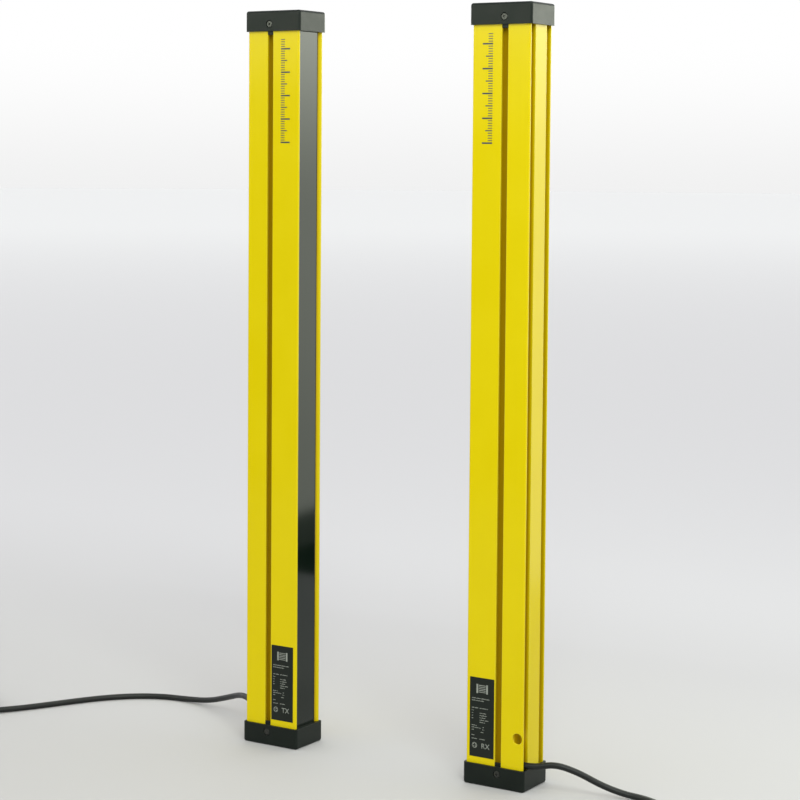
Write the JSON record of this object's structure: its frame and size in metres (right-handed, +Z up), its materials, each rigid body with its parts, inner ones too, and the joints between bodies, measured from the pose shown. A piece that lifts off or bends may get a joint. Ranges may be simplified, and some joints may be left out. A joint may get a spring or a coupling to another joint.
{
  "type": "safety light curtain",
  "caption": "Safety light curtain: upright transmitter and receiver with grooved metal housings, dark windows, moulded end caps and coiled leads with round plugs.",
  "frame": {"origin": "on the floor, midway between the transmitter and the receiver", "axes": "+Z up the posts, +X from the transmitter to the receiver, +Y across the sensing field, away from the rating plates"},
  "size_m": [0.7665, 0.1869, 0.64],
  "materials": {
    "housing_yellow": "extruded, yellow powder coat, satin",
    "dark_pane": "polished dark sheet that passes infrared",
    "cap_plastic": "moulded, fine texture",
    "seal_rubber": "matt",
    "screw_steel": "blackened",
    "nut_steel": "zinc plated",
    "plate_black": "printed foil",
    "lens_clear": "moulded clear acrylic",
    "carrier_black": "moulded",
    "diode_clear": "clear epoxy",
    "sensor_black": "dark epoxy",
    "board_green": "solder resist",
    "lamp_white": "diffused",
    "chip_black": "moulded",
    "capacitor_metal": "can",
    "terminal_grey": "moulded",
    "lead_black": "smooth sheath",
    "core_white": "insulation",
    "tie_fabric": "woven strap",
    "plug_black": "overmoulded",
    "ring_nickel": "nickel plated, knurled",
    "pin_gold": "gold plated"
  },
  "bodies": {
    "root": {"receiver_board_clips": "carrier_black", "receiver_board_link": "carrier_black", "receiver_bottom_cap": "cap_plastic", "receiver_bottom_gasket": "seal_rubber", "receiver_cap_nuts": "nut_steel", "receiver_cap_screws": "screw_steel", "receiver_capacitors": "capacitor_metal", "receiver_coil_tie": "tie_fabric", "receiver_control_board": "board_green", "receiver_control_chips": "chip_black", "receiver_housing": "housing_yellow", "receiver_lead": "lead_black", "receiver_lead_coil": "lead_black", "receiver_lead_collar": "lead_black", "receiver_lead_cores": "core_white", "receiver_lens_strip": "lens_clear", "receiver_optics_board": "board_green", "receiver_optics_carrier": "carrier_black", "receiver_plug_body": "plug_black", "receiver_plug_pins": "pin_gold", "receiver_rating_plate": "plate_black", "receiver_sensors": "sensor_black", "receiver_status_lamps": "lamp_white", "receiver_terminal_block": "terminal_grey", "receiver_top_cap": "cap_plastic", "receiver_top_gasket": "seal_rubber", "receiver_window": "dark_pane", "receiver_window_seals": "seal_rubber", "transmitter_board_clips": "carrier_black", "transmitter_board_link": "carrier_black", "transmitter_bottom_cap": "cap_plastic", "transmitter_bottom_gasket": "seal_rubber", "transmitter_cap_nuts": "nut_steel", "transmitter_cap_screws": "screw_steel", "transmitter_capacitors": "capacitor_metal", "transmitter_coil_tie": "tie_fabric", "transmitter_control_board": "board_green", "transmitter_control_chips": "chip_black", "transmitter_emitters": "diode_clear", "transmitter_housing": "housing_yellow", "transmitter_lead": "lead_black", "transmitter_lead_coil": "lead_black", "transmitter_lead_collar": "lead_black", "transmitter_lead_cores": "core_white", "transmitter_lens_strip": "lens_clear", "transmitter_optics_board": "board_green", "transmitter_optics_carrier": "carrier_black", "transmitter_plug_body": "plug_black", "transmitter_plug_pins": "pin_gold", "transmitter_rating_plate": "plate_black", "transmitter_status_lamps": "lamp_white", "transmitter_terminal_block": "terminal_grey", "transmitter_top_cap": "cap_plastic", "transmitter_top_gasket": "seal_rubber", "transmitter_window": "dark_pane", "transmitter_window_seals": "seal_rubber"},
    "transmitter_ring": {"transmitter_plug_ring": "ring_nickel"},
    "receiver_ring": {"receiver_plug_ring": "ring_nickel"}
  },
  "joints": [
    {"name": "transmitter_ring_turn", "type": "hinge", "parent": "root", "child": "transmitter_ring", "pos_m": [-0.4738, -0.014, 0.00735], "axis": [0, 1, 0], "continuous": true},
    {"name": "receiver_ring_turn", "type": "hinge", "parent": "root", "child": "receiver_ring", "pos_m": [0.177, -0.1204, 0.00735], "axis": [-1, 0, 0], "continuous": true}
  ]
}
